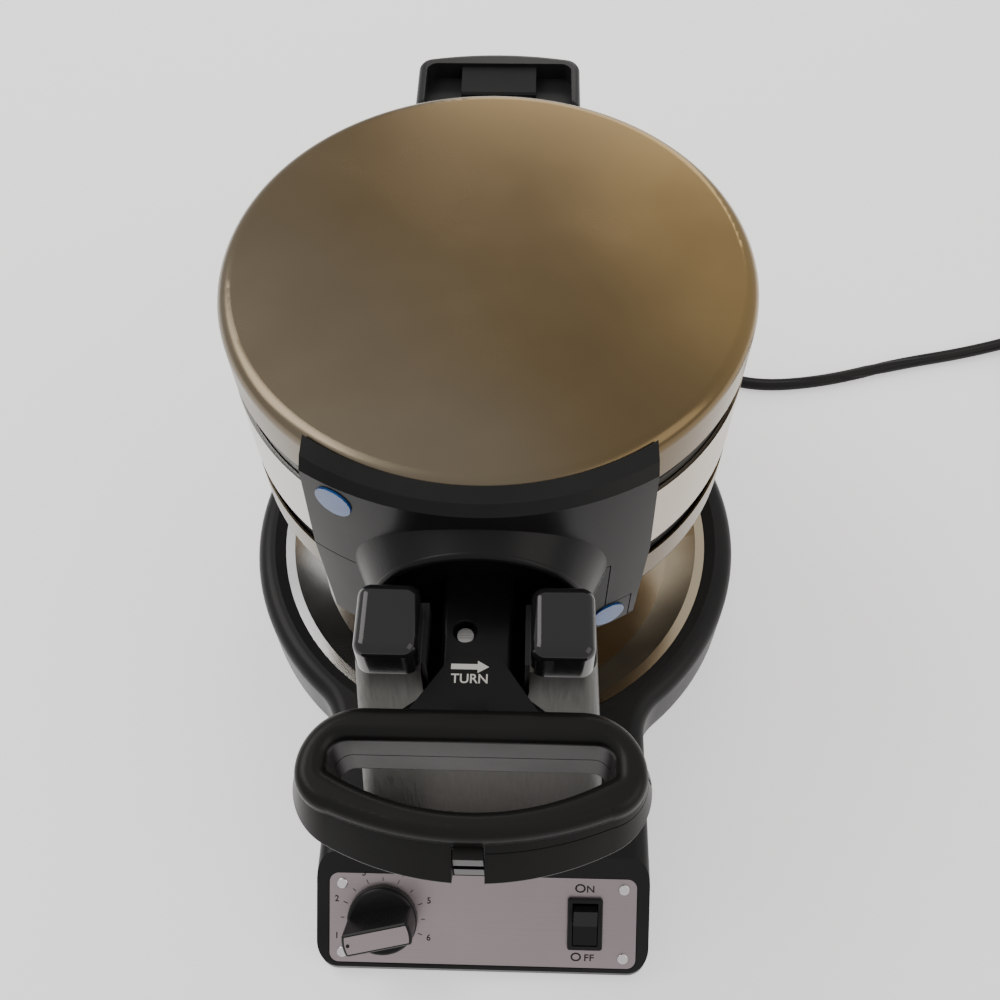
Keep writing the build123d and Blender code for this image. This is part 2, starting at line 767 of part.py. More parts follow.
def loop_outline(flare):
    """The loop's outer outline in plan, drawn in by a part of its flare, 0 at the parting and 1 at the tube."""
    back = loop_back_y
    front = loop_front_y + loop_flare * flare
    side = loop_half_w - loop_side_flare * flare
    shoulder_x = 0.79 * side
    shoulder_y = loop_shoulder_y + 0.7 * loop_flare * flare
    s = loop_straight - loop_side_flare * flare
    line = Line((-s, back), (s, back))
    line += TangentArc((s, back), (side, back - (side - s)), tangent=(1, 0))
    line += TangentArc((side, back - (side - s)), (shoulder_x, shoulder_y), tangent=(0, -1))
    line += ThreePointArc((shoulder_x, shoulder_y), (0, front), (-shoulder_x, shoulder_y))
    line += TangentArc((-side, back - (side - s)), (-shoulder_x, shoulder_y), tangent=(0, -1))
    line += TangentArc((-s, back), (-side, back - (side - s)), tangent=(-1, 0))
    return make_face(line)


def finger_outline():
    """The outline of the finger opening in plan."""
    side = finger_half_w
    line = Line((-side, finger_back_y), (side, finger_back_y))
    line += Line((side, finger_back_y), (side, finger_side_y))
    line += ThreePointArc((side, finger_side_y), (0, finger_front_y), (-side, finger_side_y))
    line += Line((-side, finger_side_y), (-side, finger_back_y))
    outline = make_face(line)
    outline = fillet([v for v in outline.vertices() if v.Y < finger_back_y - 1], 1.6)
    return fillet([v for v in outline.vertices() if v.Y > finger_back_y - 0.5], finger_r)


def loop_half():
    """The upper half of the closed loop: a flare up from the parting, and a rounded tube on it."""
    flare = loft([Pos(0, 0, gap / 2) * loop_outline(0), Pos(0, 0, tube_low) * loop_outline(1)], ruled=True)
    half = flare + Pos(0, 0, tube_low) * extrude(loop_outline(1), loop_half_h - tube_low)
    half -= Pos(0, 0, -1) * extrude(finger_outline(), loop_half_h + 2)
    return fillet(half.edges().group_by(Axis.Z)[-1], tube_edge_r)


def lip_zone(side, height, play):
    """The room of a lip: outside the tube's outline by its play, beside the notch, up or down."""
    plan = Rectangle(300, 500) - loop_outline(1 - play / loop_flare)
    ring = Pos(0, 0, min(0, height)) * extrude(plan, abs(height))
    low = min(side * notch_half, side * 80)
    return ring & block(low, low + 80 - notch_half, -230, lip_end_y - play, min(0, height), max(0, height))


def upper_handle():
    """The upper handle. Its lip hangs over the parting on the left; the lower one's rises on the right."""
    half = loop_half()
    half -= lip_zone(1, lip_h + lip_fit, 0)
    lip = half_turn(loop_half()) & lip_zone(-1, -lip_h, lip_play)
    bridge = Pos(0, 0, -gap / 2) * extrude(loop_outline(0) - loop_outline(1), gap)
    half += lip + (bridge & lip_zone(-1, -lip_h, lip_play)) + (bridge & lip_zone(-1, lip_h, lip_play))
    room = block(-notch_half, notch_half, loop_front_y - 5, loop_front_y + loop_flare,
                 -loop_half_h, loop_half_h)
    half -= room
    return half + block(-notch_half + 0.4, notch_half - 0.4, tab_y, finger_front_y - 4, 2.0, 8.5)


# power cord
def strain_relief():
    """The tapered rubber sleeve where the cord leaves the base."""
    x0 = rear_half_w
    sleeve = Pos(x0 + relief_len / 2, exit_y, exit_z) * Rot(0, 90, 0) * Cone(6.4, 4.4, relief_len)
    sleeve += along_x(4.9, x0 - 6.5, x0 + 0.5, y=exit_y, z=exit_z)
    return sleeve + along_x(6.4, x0 - wall - 2.0, x0 - wall, y=exit_y, z=exit_z)


def route_radii():
    """The radius at each corner of the free stretch: as large as its two runs allow."""
    points = [Vector(*p) for p in route]
    radii = []
    for a, b, c in zip(points, points[1:], points[2:]):
        half = math.radians((b - a).get_angle(c - b)) / 2
        radii.append(0.45 * min((b - a).length, (c - b).length) / math.tan(half))
    return radii


def power_cord():
    """The cord's free stretch, from the sleeve to the coil."""
    radii = route_radii()
    print("cord radii", [round(r) for r in radii], "least", round(min(radii) / cord_d, 1), "diameters")
    path = FilletPolyline(*route, radius=radii)
    start = Plane(origin=path @ 0, z_dir=path % 0)
    cord = sweep(start * Circle(cord_d / 2), path=path)
    expected = math.pi * cord_d ** 2 / 4 * path.length
    share = round(cord.volume / expected, 4)
    print("cord length", round(path.length), "volume over section times length", share)
    return cord


def coil_path():
    """The coil's line: a flat spiral in, a climb over half a turn, a spiral out, and a run to the plug."""
    x0, y0, z0 = route[-1]
    start_x = x0 + cord_d
    line = [Line((x0, y0, z0), (start_x, y0, z0))]
    y = y0
    r = coil_r_out
    side = 1
    z = z0
    for k in range(3):
        end = y - side * 2 * r
        line.append(ThreePointArc((start_x, y, z), (start_x + side * r, (y + end) / 2, z), (start_x, end, z)))
        y = end
        side = -side
        r -= coil_pitch / 2
    rise = coil_pitch
    end = y - side * 2 * r
    middle = (start_x + side * math.hypot(r, rise / 2), (y + end) / 2, z + rise / 2)
    line.append(TangentArc((start_x, y, z), middle, tangent=(side, 0, 0)))
    line.append(TangentArc(middle, (start_x, end, z + rise), tangent=line[-1] % 1))
    z += rise
    y = end
    side = -side
    for k in range(3):
        r = r + coil_pitch / 2 if k < 2 else coil_exit_r
        end = y - side * 2 * r
        line.append(ThreePointArc((start_x, y, z), (start_x + side * r, (y + end) / 2, z), (start_x, end, z)))
        y = end
        side = -side
    line.append(Line((start_x, y, z), (start_x + side * cord_d, y, z)))
    return line


def cord_coil():
    """The put-away length, wound as one tube; its least gap to itself is measured and printed."""
    line = coil_path()
    path = Wire(line)
    start = Plane(origin=line[0] @ 0, z_dir=line[0] % 0)
    coil = sweep(start * Circle(cord_d / 2), path=path)
    points = []
    run = 0.0
    for piece in line:
        for i in range(24):
            points.append((run + piece.length * i / 24, piece @ (i / 24)))
        run += piece.length
    apart = [(p - q).length for s, p in points for t, q in points if t - s > 5 * cord_d]
    print("coil length", round(run), "least gap to itself", round(min(apart) - cord_d, 2))
    return coil


def plug_place():
    """Where the coil's line ends, and which way it points along X."""
    last = coil_path()[-1]
    end = last @ 1
    return end.X, end.Y, end.Z, math.copysign(1, (last % 1).X)


def cord_plug():
    """The moulded plug body, lying beside the coil."""
    x, y, z, way = plug_place()
    end = x + way * plug_len
    body = block(min(x, end), max(x, end), y - plug_w / 2, y + plug_w / 2, 0.1, 2 * z - 0.1)
    return fillet(body.edges().filter_by(Axis.X), 5)


def plug_blades():
    """The two flat blades of the plug."""
    x, y, z, way = plug_place()
    root = x + way * plug_len
    tip = root + way * blade_len
    blades = []
    for side in (-1, 1):
        middle = y + side * blade_pitch / 2
        blades.append(block(min(root, tip), max(root, tip), middle - blade_t / 2, middle + blade_t / 2,
                            z - blade_w / 2, z + blade_w / 2))
    return Compound(children=blades)


def cord_tie():
    """The tie round the coil's turns, on its far side."""
    x0, y0, z0 = route[-1]
    centre_x = x0 + cord_d
    centre_y = y0 - coil_r_out
    inner = coil_r_out - 2 * coil_pitch - 0.2
    r0 = centre_x + inner
    r1 = centre_x + coil_exit_r + cord_d / 2 + 0.8
    low = z0 - cord_d / 2 - 0.4
    high = z0 + coil_pitch + cord_d / 2 + 0.4
    outer = block(r0 - tie_t, r1 + tie_t, centre_y - tie_w / 2, centre_y + tie_w / 2,
                  low - tie_t, high + tie_t)
    return outer - block(r0, r1, centre_y - tie_w, centre_y + tie_w, low, high)


# every node
def main():
    os.makedirs("parts", exist_ok=True)
    cover = lid_cover()
    plate = waffle_plate()
    rim = plate_rim()
    lid_plate = facing_down(plate)
    lid_rim = facing_down(rim)
    lid_element = heating_element(2 * parting - plate_back + element_r + 0.1)
    nodes = {
        "base_housing": base_housing(),
        "bottom_cover": bottom_cover(),
        "rubber_feet": rubber_feet(),
        "drip_tray": drip_tray(),
        "control_plate": control_plate(),
        "plate_rivets": plate_rivets(),
        "dial_control": dial_control(),
        "dial_knob": dial_knob(),
        "knob_insert": knob_insert(),
        "switch_bezel": switch_bezel(),
        "switch_rocker": switch_rocker(),
        "control_board": control_board(),
        "front_pedestal": front_pedestal(),
        "cradle_liner": cradle_liner(),
        "cradle_block_left": cradle_block(-1),
        "cradle_block_right": cradle_block(1),
        "pedestal_screws": pedestal_screws(),
        "rear_tower": rear_tower(),
        "rear_bush": rear_bush(),
        "middle_ring": at_axis(middle_ring()),
        "middle_plate_upper": at_axis(plate),
        "middle_plate_upper_rim": at_axis(rim),
        "middle_plate_lower": at_axis(Rot(180, 0, 0) * plate),
        "middle_plate_lower_rim": at_axis(Rot(180, 0, 0) * rim),
        "middle_element": at_axis(heating_element(0)),
        "plate_spacers": at_axis(plate_spacers()),
        "thermal_fuse": at_axis(thermal_fuse()),
        "hinge_block": at_axis(hinge_block()),
        "head_shaft": at_axis(head_shaft()),
        "shaft_collar": at_axis(shaft_collar()),
        "upper_hinge_pin": at_axis(hinge_pin()),
        "lower_hinge_pin": at_axis(half_turn(hinge_pin())),
        "upper_lid_cover": at_axis(cover),
        "upper_lid_plate": at_axis(lid_plate),
        "upper_lid_plate_rim": at_axis(lid_rim),
        "upper_lid_element": at_axis(lid_element),
        "upper_lid_thermostat": at_axis(lid_thermostat()),
        "upper_hinge_arm": at_axis(hinge_arm()),
        "upper_front_panel": at_axis(upper_front_panel()),
        "upper_lens": at_axis(lens(-1)),
        "lower_lens": at_axis(lens(1)),
        "upper_neck": at_axis(upper_neck()),
        "upper_neck_screw": at_axis(neck_screw()),
        "upper_handle": at_axis(upper_handle()),
        "lower_lid_cover": at_axis(half_turn(cover)),
        "lower_lid_plate": at_axis(half_turn(lid_plate)),
        "lower_lid_plate_rim": at_axis(half_turn(lid_rim)),
        "lower_lid_element": at_axis(half_turn(lid_element)),
        "lower_lid_thermostat": at_axis(half_turn(lid_thermostat())),
        "lower_hinge_arm": at_axis(half_turn(hinge_arm())),
        "lower_front_panel": at_axis(lower_front_panel()),
        "lower_neck": at_axis(half_turn(upper_neck())),
        "lower_neck_screw": at_axis(half_turn(neck_screw())),
        "lower_handle": at_axis(half_turn(upper_handle())),
        "strain_relief": strain_relief(),
        "power_cord": power_cord(),
        "cord_coil": cord_coil(),
        "cord_plug": cord_plug(),
        "plug_blades": plug_blades(),
        "cord_tie": cord_tie(),
    }
    origin_y = (handle_front() + rear_y) / 2
    for name, shape in nodes.items():
        save(shape, name, origin_y)


main()
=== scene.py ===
import bpy
import bmesh
import math
from mathutils import Matrix, Vector


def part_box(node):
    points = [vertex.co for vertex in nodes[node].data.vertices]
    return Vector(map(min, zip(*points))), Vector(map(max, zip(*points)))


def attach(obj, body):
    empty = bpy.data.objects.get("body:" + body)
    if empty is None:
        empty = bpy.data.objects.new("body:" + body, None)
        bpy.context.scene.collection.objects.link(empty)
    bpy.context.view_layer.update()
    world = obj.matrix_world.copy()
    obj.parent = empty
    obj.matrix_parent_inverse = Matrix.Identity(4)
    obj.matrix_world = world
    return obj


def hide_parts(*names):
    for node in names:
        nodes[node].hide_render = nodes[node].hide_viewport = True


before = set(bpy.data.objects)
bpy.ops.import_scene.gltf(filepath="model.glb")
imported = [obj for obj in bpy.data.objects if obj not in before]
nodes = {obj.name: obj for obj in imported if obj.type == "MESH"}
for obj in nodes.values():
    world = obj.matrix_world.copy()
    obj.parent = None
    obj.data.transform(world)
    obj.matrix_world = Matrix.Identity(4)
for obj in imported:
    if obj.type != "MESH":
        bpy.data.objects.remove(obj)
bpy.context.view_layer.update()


# The place to stand. The appliance is photographed from above its front edge, so the lens looks down
# at the turned-over head. Distances are in metres from the middle of the base, on the table.
table_to_lens = 0.51619
lens_x = 0.01543
lens_y = -0.26877
lens_yaw = math.radians(-2.45)
lens_pitch = math.radians(57.17)
lens_roll = math.radians(-1.08)

forward = Vector((math.sin(lens_yaw) * math.cos(lens_pitch), math.cos(lens_yaw) * math.cos(lens_pitch),
                  -math.sin(lens_pitch)))
level_right = Vector((math.cos(lens_yaw), -math.sin(lens_yaw), 0))
level_up = level_right.cross(forward)
lens_right = math.cos(lens_roll) * level_right + math.sin(lens_roll) * level_up
lens_up = math.cos(lens_roll) * level_up - math.sin(lens_roll) * level_right
camera_data = bpy.data.cameras.new("lens")
camera_data.lens = 39.6
camera_data.sensor_width = 36
camera_data.clip_start = 0.01
camera = bpy.data.objects.new("lens", camera_data)
bpy.context.collection.objects.link(camera)
turn = Matrix((lens_right, lens_up, -forward)).transposed().to_4x4()
camera.matrix_world = Matrix.Translation((lens_x, lens_y, table_to_lens)) @ turn
bpy.context.scene.camera = camera


# The table and the light. A pale matt top under the appliance, one broad lamp over its left shoulder,
# a wide dim one from the right and a low one behind, and an even pale room all round.
def aim(lamp, target):
    """Turn a lamp towards a point."""
    lamp.rotation_euler = (Vector(target) - lamp.location).to_track_quat("-Z", "Y").to_euler()


def soft_lamp(name, place, width, watts, tint):
    """A square soft lamp that looks at the head."""
    data = bpy.data.lights.new(name, "AREA")
    data.size = width
    data.energy = watts
    data.color = tint
    lamp = bpy.data.objects.new(name, data)
    bpy.context.collection.objects.link(lamp)
    lamp.location = place
    aim(lamp, (0, 0, 0.15))
    return lamp


soft_lamp("window", (-0.9, 0.35, 1.3), 0.9, 11.0, (1.0, 0.98, 0.95))
soft_lamp("fill", (1.1, -0.5, 1.0), 1.0, 5.0, (1.0, 0.96, 0.90))
soft_lamp("back", (0.2, 1.3, 0.7), 0.8, 5.0, (1.0, 0.97, 0.93))

table_mesh = bpy.data.meshes.new("table_top")
shape = bmesh.new()
bmesh.ops.create_grid(shape, x_segments=1, y_segments=1, size=3.0)
shape.to_mesh(table_mesh)
shape.free()
table_top = bpy.data.objects.new("table_top", table_mesh)
bpy.context.collection.objects.link(table_top)


def seen_by_lens(tree):
    """One for rays from the lens, from shine and through glass, and nought for all other light."""
    path = tree.nodes.new("ShaderNodeLightPath")
    metal = tree.nodes.new("ShaderNodeMath")
    metal.operation = "MAXIMUM"
    seen = tree.nodes.new("ShaderNodeMath")
    seen.operation = "MAXIMUM"
    tree.links.new(path.outputs["Is Camera Ray"], metal.inputs[0])
    tree.links.new(path.outputs["Is Glossy Ray"], metal.inputs[1])
    tree.links.new(metal.outputs[0], seen.inputs[0])
    tree.links.new(path.outputs["Is Transmission Ray"], seen.inputs[1])
    return seen.outputs[0]


table_finish = bpy.data.materials.new("table_finish")
table_finish.use_nodes = True
tree = table_finish.node_tree
table_shader = tree.nodes["Principled BSDF"]
table_shader.inputs["Roughness"].default_value = 0.8
table_shader.inputs["Specular IOR Level"].default_value = 0.1
table_tone = tree.nodes.new("ShaderNodeMix")
table_tone.data_type = "RGBA"
table_tone.inputs[6].default_value = (0.62, 0.61, 0.60, 1)
table_tone.inputs[7].default_value = (0.97, 0.97, 0.97, 1)
tree.links.new(seen_by_lens(tree), table_tone.inputs[0])
tree.links.new(table_tone.outputs[2], table_shader.inputs["Base Color"])
table_lift = tree.nodes.new("ShaderNodeMath")
table_lift.operation = "MULTIPLY"
table_lift.inputs[1].default_value = 0.62
tree.links.new(seen_by_lens(tree), table_lift.inputs[0])
tree.links.new(table_lift.outputs[0], table_shader.inputs["Emission Strength"])
table_shader.inputs["Emission Color"].default_value = (1.0, 1.0, 1.0, 1)
table_mesh.materials.append(table_finish)

room = bpy.data.worlds.new("room")
bpy.context.scene.world = room
room.use_nodes = True
tree = room.node_tree
tree.nodes.clear()
pale = tree.nodes.new("ShaderNodeBackground")
pale.inputs["Color"].default_value = (0.90, 0.90, 0.89, 1)
pale.inputs["Strength"].default_value = 1.0
dim = tree.nodes.new("ShaderNodeBackground")
dim.inputs["Color"].default_value = (1.0, 0.98, 0.96, 1)
dim.inputs["Strength"].default_value = 0.55
choose = tree.nodes.new("ShaderNodeMixShader")
out = tree.nodes.new("ShaderNodeOutputWorld")
tree.links.new(seen_by_lens(tree), choose.inputs[0])
tree.links.new(dim.outputs[0], choose.inputs[1])
tree.links.new(pale.outputs[0], choose.inputs[2])
tree.links.new(choose.outputs[0], out.inputs["Surface"])


# The power cord: a two-core lead in soft black jacket. It leaves the sleeve on the rear foot, lies on the
# table with one half twist, and its spare length is wound in a flat coil of two layers out of view.
foot_y = 0.02334
cord_width = 0.007
cord_route = [
    (74.0, 140.0, 12.0),
    (91.0, 140.0, 12.0),
    (114.0, 134.5, 5.6),
    (146.0, 121.5, 3.56),
    (188.0, 125.0, 3.6),
    (236.0, 140.0, 3.56),
    (281.0, 150.0, 3.6),
    (323.0, 163.0, 5.1),
    (351.0, 163.0, 5.1),
]
twist_from = 5
coil_radius = 46.0
coil_step = 7.7
coil_last_radius = 50.8
coil_halves = 7
climbing_half = 3
points_per_half = 8
lead_in = 7.0


def coil_half_turns():
    """Each half turn of the coil: its centre, radius, the side it bulges to, and its two heights."""
    x, y, z = cord_route[-1]
    x += lead_in
    radius = coil_radius
    side = 1
    for k in range(coil_halves):
        rise = coil_step if k == climbing_half else 0.0
        if k > climbing_half:
            radius = coil_last_radius if k == coil_halves - 1 else radius + coil_step / 2
        yield x, y - side * radius, radius, side, z, rise
        y -= side * 2 * radius
        z += rise
        if k < climbing_half:
            radius -= coil_step / 2
        side = -side


route = [Vector(p) for p in cord_route]
for x, y, radius, side, low, rise in coil_half_turns():
    spread = radius / math.cos(math.pi / points_per_half / 2)
    for k in range(points_per_half):
        part = (k + 0.5) / points_per_half
        angle = math.pi * part
        route.append(Vector((x + side * spread * math.sin(angle), y + side * spread * math.cos(angle),
                             low + rise * part)))
coil_end = Vector((x - lead_in, y - side * radius, low + rise))
route.append(coil_end)

cord_curve = bpy.data.curves.new("cord_line", "CURVE")
cord_curve.dimensions = "3D"
cord_curve.resolution_u = 8
cord_line = cord_curve.splines.new("NURBS")
cord_line.points.add(len(route) - 1)
for k, place in enumerate(route):
    cord_line.points[k].co = (place.x / 1000, place.y / 1000 + foot_y, place.z / 1000, 1)
    cord_line.points[k].tilt = math.pi if k >= twist_from else 0.0
cord_line.order_u = 3
cord_line.use_endpoint_u = True
line_object = bpy.data.objects.new("cord_line", cord_curve)
bpy.context.collection.objects.link(line_object)


def as_mesh(thing):
    """The mesh that a curve or a text makes as it stands."""
    bpy.context.view_layer.update()
    return bpy.data.meshes.new_from_object(thing.evaluated_get(bpy.context.evaluated_depsgraph_get()))


bare_line = as_mesh(line_object)
cord_path = [tuple(v.co) for v in bare_line.vertices]
cord_length = sum((Vector(a) - Vector(b)).length for a, b in zip(cord_path, cord_path[1:]))
print("cord path", len(cord_path), "points, length", round(cord_length, 4))

jacket_outline = bpy.data.curves.new("jacket_outline", "CURVE")
jacket_outline.dimensions = "2D"
outline = jacket_outline.splines.new("POLY")
outline.points.add(27)
for k in range(28):
    angle = 2 * math.pi * k / 28
    valley = 1 - 0.17 * math.exp(-(math.cos(angle) / 0.22) ** 2)
    outline.points[k].co = (cord_width / 2 * math.cos(angle), cord_width / 2 * math.sin(angle) * valley, 0, 1)
outline.use_cyclic_u = True
jacket_object = bpy.data.objects.new("jacket_outline", jacket_outline)
bpy.context.collection.objects.link(jacket_object)
cord_curve.bevel_mode = "OBJECT"
cord_curve.bevel_object = jacket_object
cord_curve.use_fill_caps = True
cord_mesh = as_mesh(line_object)
cord_mesh.name = "cord_jacket"
for face in cord_mesh.polygons:
    face.use_smooth = True
cord_jacket = bpy.data.objects.new("cord_jacket", cord_mesh)
bpy.context.collection.objects.link(cord_jacket)
bpy.data.objects.remove(line_object)
bpy.data.objects.remove(jacket_object)


def add_group_input(group, name, kind, value):
    """One named input of a shader group, with its usual value."""
    socket = group.interface.new_socket(name=name, in_out="INPUT", socket_type=kind)
    if value is not None:
        socket.default_value = value
    return socket


def add_finish_outputs(group):
    """The three outputs that every finish group has."""
    outputs = (("Colour", "NodeSocketColor"), ("Roughness", "NodeSocketFloat"), ("Height", "NodeSocketFloat"))
    for name, kind in outputs:
        group.interface.new_socket(name=name, in_out="OUTPUT", socket_type=kind)


def noise(tree, place, scale, detail, rough=0.5):
    """A noise texture read at a place, its scale a number or a socket."""
    node = tree.nodes.new("ShaderNodeTexNoise")
    node.inputs["Detail"].default_value = detail
    node.inputs["Roughness"].default_value = rough
    tree.links.new(place, node.inputs["Vector"])
    if isinstance(scale, float):
        node.inputs["Scale"].default_value = scale
    else:
        tree.links.new(scale, node.inputs["Scale"])
    return node.outputs["Fac"]


def between(tree, amount, low, high):
    """A value that runs from low to high, each a number or a socket, as the amount goes from 0.3 to 0.7."""
    ramp = tree.nodes.new("ShaderNodeMapRange")
    ramp.inputs["From Min"].default_value = 0.3
    ramp.inputs["From Max"].default_value = 0.7
    tree.links.new(amount, ramp.inputs["Value"])
    for value, socket in ((low, ramp.inputs["To Min"]), (high, ramp.inputs["To Max"])):
        if isinstance(value, float):
            socket.default_value = value
        else:
            tree.links.new(value, socket)
    return ramp.outputs["Result"]


def blend_colours(tree, amount, first, second):
    """A mix of two colour sockets."""
    mix = tree.nodes.new("ShaderNodeMix")
    mix.data_type = "RGBA"
    tree.links.new(amount, mix.inputs[0])
    tree.links.new(first, mix.inputs[6])
    tree.links.new(second, mix.inputs[7])
    return mix.outputs[2]


def build_moulded_skin():
    """Shader group for moulded plastic and rubber: spark-eroded grain, handling marks and a little dust."""
    group = bpy.data.node_groups.new("moulded_skin", "ShaderNodeTree")
    add_group_input(group, "Place", "NodeSocketVector", None)
    add_group_input(group, "Colour", "NodeSocketColor", (0.02, 0.02, 0.02, 1))
    add_group_input(group, "Handled colour", "NodeSocketColor", (0.03, 0.03, 0.03, 1))
    add_group_input(group, "Grain size", "NodeSocketFloat", 900.0)
    add_group_input(group, "Patch size", "NodeSocketFloat", 14.0)
    add_group_input(group, "Smooth", "NodeSocketFloat", 0.35)
    add_group_input(group, "Rough", "NodeSocketFloat", 0.5)
    add_finish_outputs(group)
    given = group.nodes.new("NodeGroupInput")
    made = group.nodes.new("NodeGroupOutput")
    place = given.outputs["Place"]
    grain = noise(group, place, given.outputs["Grain size"], 2.0, 0.6)
    patches = noise(group, place, given.outputs["Patch size"], 4.0)
    amount = between(group, patches, 0.0, 1.0)
    group.links.new(blend_colours(group, amount, given.outputs["Colour"], given.outputs["Handled colour"]),
                    made.inputs["Colour"])
    group.links.new(between(group, patches, given.outputs["Smooth"], given.outputs["Rough"]),
                    made.inputs["Roughness"])
    group.links.new(grain, made.inputs["Height"])
    return group


moulded_skin = build_moulded_skin()


def new_finish(name, group, values, bump=0.0, bump_distance=0.0001, **shader_values):
    """A material: a principled shader fed by a shader group read in object coordinates."""
    material = bpy.data.materials.new(name)
    material.use_nodes = True
    tree = material.node_tree
    shader = tree.nodes["Principled BSDF"]
    for key, value in shader_values.items():
        shader.inputs[key.replace("_", " ")].default_value = value
    where = tree.nodes.new("ShaderNodeTexCoord")
    skin = tree.nodes.new("ShaderNodeGroup")
    skin.node_tree = group
    for key, value in values.items():
        skin.inputs[key].default_value = value
    tree.links.new(where.outputs["Object"], skin.inputs["Place"])
    tree.links.new(skin.outputs["Colour"], shader.inputs["Base Color"])
    tree.links.new(skin.outputs["Roughness"], shader.inputs["Roughness"])
    if bump:
        relief = tree.nodes.new("ShaderNodeBump")
        relief.inputs["Strength"].default_value = bump
        relief.inputs["Distance"].default_value = bump_distance
        tree.links.new(skin.outputs["Height"], relief.inputs["Height"])
        tree.links.new(relief.outputs["Normal"], shader.inputs["Normal"])
    return material


def plastic(name, colour, handled, smooth, rough, grain=900.0, patch=14.0, bump=0.25, **more):
    """A moulded plastic or rubber finish."""
    more.setdefault("Specular_IOR_Level", 0.14)
    values = {"Colour": (*colour, 1), "Handled colour": (*handled, 1), "Grain size": grain,
              "Patch size": patch, "Smooth": smooth, "Rough": rough}
    return new_finish(name, moulded_skin, values, bump, **more)


def dress(name, material):
    """Give a frame node its finish."""
    for part in nodes[name].material_slots:
        part.material = material


cord_finish = plastic("cord_jacket_black", (0.013, 0.013, 0.014), (0.022, 0.021, 0.020), 0.38, 0.55,
                      grain=1400.0, patch=30.0, bump=0.3)
cord_mesh.materials.append(cord_finish)
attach(cord_jacket, "root_base")
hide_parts("power_cord", "cord_coil")
for name in ("strain_relief", "cord_plug"):
    dress(name, cord_finish)


# The tie that holds the spare cord: a woven hook-and-loop strap, wrapped once round the coil's side and pressed shut
# on itself, so its corners are round.
def round_loop(low, high, inset, corner, steps):
    """Points round an upright rectangle with round corners, as pairs of x and z."""
    points = []
    corners = ((high.x, high.z, 0), (low.x, high.z, 90), (low.x, low.z, 180), (high.x, low.z, 270))
    for cx, cz, start in corners:
        centre_x = cx - math.copysign(corner, cx - (low.x + high.x) / 2)
        centre_z = cz - math.copysign(corner, cz - (low.z + high.z) / 2)
        for k in range(steps + 1):
            angle = math.radians(start + 90 * k / steps)
            points.append((centre_x + (corner - inset) * math.cos(angle),
                           centre_z + (corner - inset) * math.sin(angle)))
    return points


tie_low, tie_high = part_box("cord_tie")
tie_thick = 0.0009
tie_edge = 0.0002
shape = bmesh.new()
outer = round_loop(tie_low, tie_high, 0.0, 0.0024, 8)
inner = round_loop(tie_low, tie_high, tie_thick, 0.0024, 8)
rows = []
for points, y in ((outer, tie_low.y), (outer, tie_high.y), (inner, tie_high.y), (inner, tie_low.y)):
    rows.append([shape.verts.new((x, y, z)) for x, z in points])
for one, two in zip(rows, rows[1:] + rows[:1]):
    for k in range(len(one)):
        shape.faces.new((one[k - 1], one[k], two[k], two[k - 1]))
bmesh.ops.recalc_face_normals(shape, faces=shape.faces)
rim_edges = [e for e in shape.edges if abs(e.verts[0].co.y - e.verts[1].co.y) < 1e-7]
bmesh.ops.bevel(shape, geom=rim_edges, offset=tie_edge, affect="EDGES", segments=2, profile=0.5, material=-1)
tie_mesh = bpy.data.meshes.new("tie_strap")
shape.to_mesh(tie_mesh)
shape.free()
for face in tie_mesh.polygons:
    face.use_smooth = True
tie_strap = bpy.data.objects.new("tie_strap", tie_mesh)
bpy.context.collection.objects.link(tie_strap)
tie_mesh.materials.append(plastic("strap_weave", (0.016, 0.016, 0.017), (0.030, 0.030, 0.030), 0.75, 0.95,
                                  grain=2600.0, patch=120.0, bump=0.8))
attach(tie_strap, "root_base")
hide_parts("cord_tie")


# Brushed and plated metal. The control plate, screws, shafts and pins share one shader group, in which
# fine scratches run one way and the tone wanders a little.
def build_worked_metal():
    """Shader group for worked metal: lines along one way, and a slow change of tone."""
    group = bpy.data.node_groups.new("worked_metal", "ShaderNodeTree")
    add_group_input(group, "Place", "NodeSocketVector", None)
    add_group_input(group, "Colour", "NodeSocketColor", (0.6, 0.6, 0.6, 1))
    add_group_input(group, "Second colour", "NodeSocketColor", (0.5, 0.5, 0.5, 1))
    add_group_input(group, "Line stretch", "NodeSocketVector", (20.0, 900.0, 900.0))
    add_group_input(group, "Patch size", "NodeSocketFloat", 12.0)
    add_group_input(group, "Smooth", "NodeSocketFloat", 0.25)
    add_group_input(group, "Rough", "NodeSocketFloat", 0.4)
    add_finish_outputs(group)
    given = group.nodes.new("NodeGroupInput")
    made = group.nodes.new("NodeGroupOutput")
    stretched = group.nodes.new("ShaderNodeVectorMath")
    stretched.operation = "MULTIPLY"
    group.links.new(given.outputs["Place"], stretched.inputs[0])
    group.links.new(given.outputs["Line stretch"], stretched.inputs[1])
    lines = noise(group, stretched.outputs[0], 1.0, 3.0, 0.65)
    patches = noise(group, given.outputs["Place"], given.outputs["Patch size"], 3.0)
    amount = between(group, patches, 0.0, 1.0)
    group.links.new(blend_colours(group, amount, given.outputs["Colour"], given.outputs["Second colour"]),
                    made.inputs["Colour"])
    group.links.new(between(group, lines, given.outputs["Smooth"], given.outputs["Rough"]),
                    made.inputs["Roughness"])
    group.links.new(lines, made.inputs["Height"])
    return group


worked_metal = build_worked_metal()


def metal(name, colour, second, smooth, rough, lines=(20.0, 900.0, 900.0), patch=12.0, bump=0.15, **more):
    """A bare or plated metal finish."""
    values = {"Colour": (*colour, 1), "Second colour": (*second, 1), "Line stretch": lines,
              "Patch size": patch, "Smooth": smooth, "Rough": rough}
    return new_finish(name, worked_metal, values, bump, Metallic=1.0, **more)


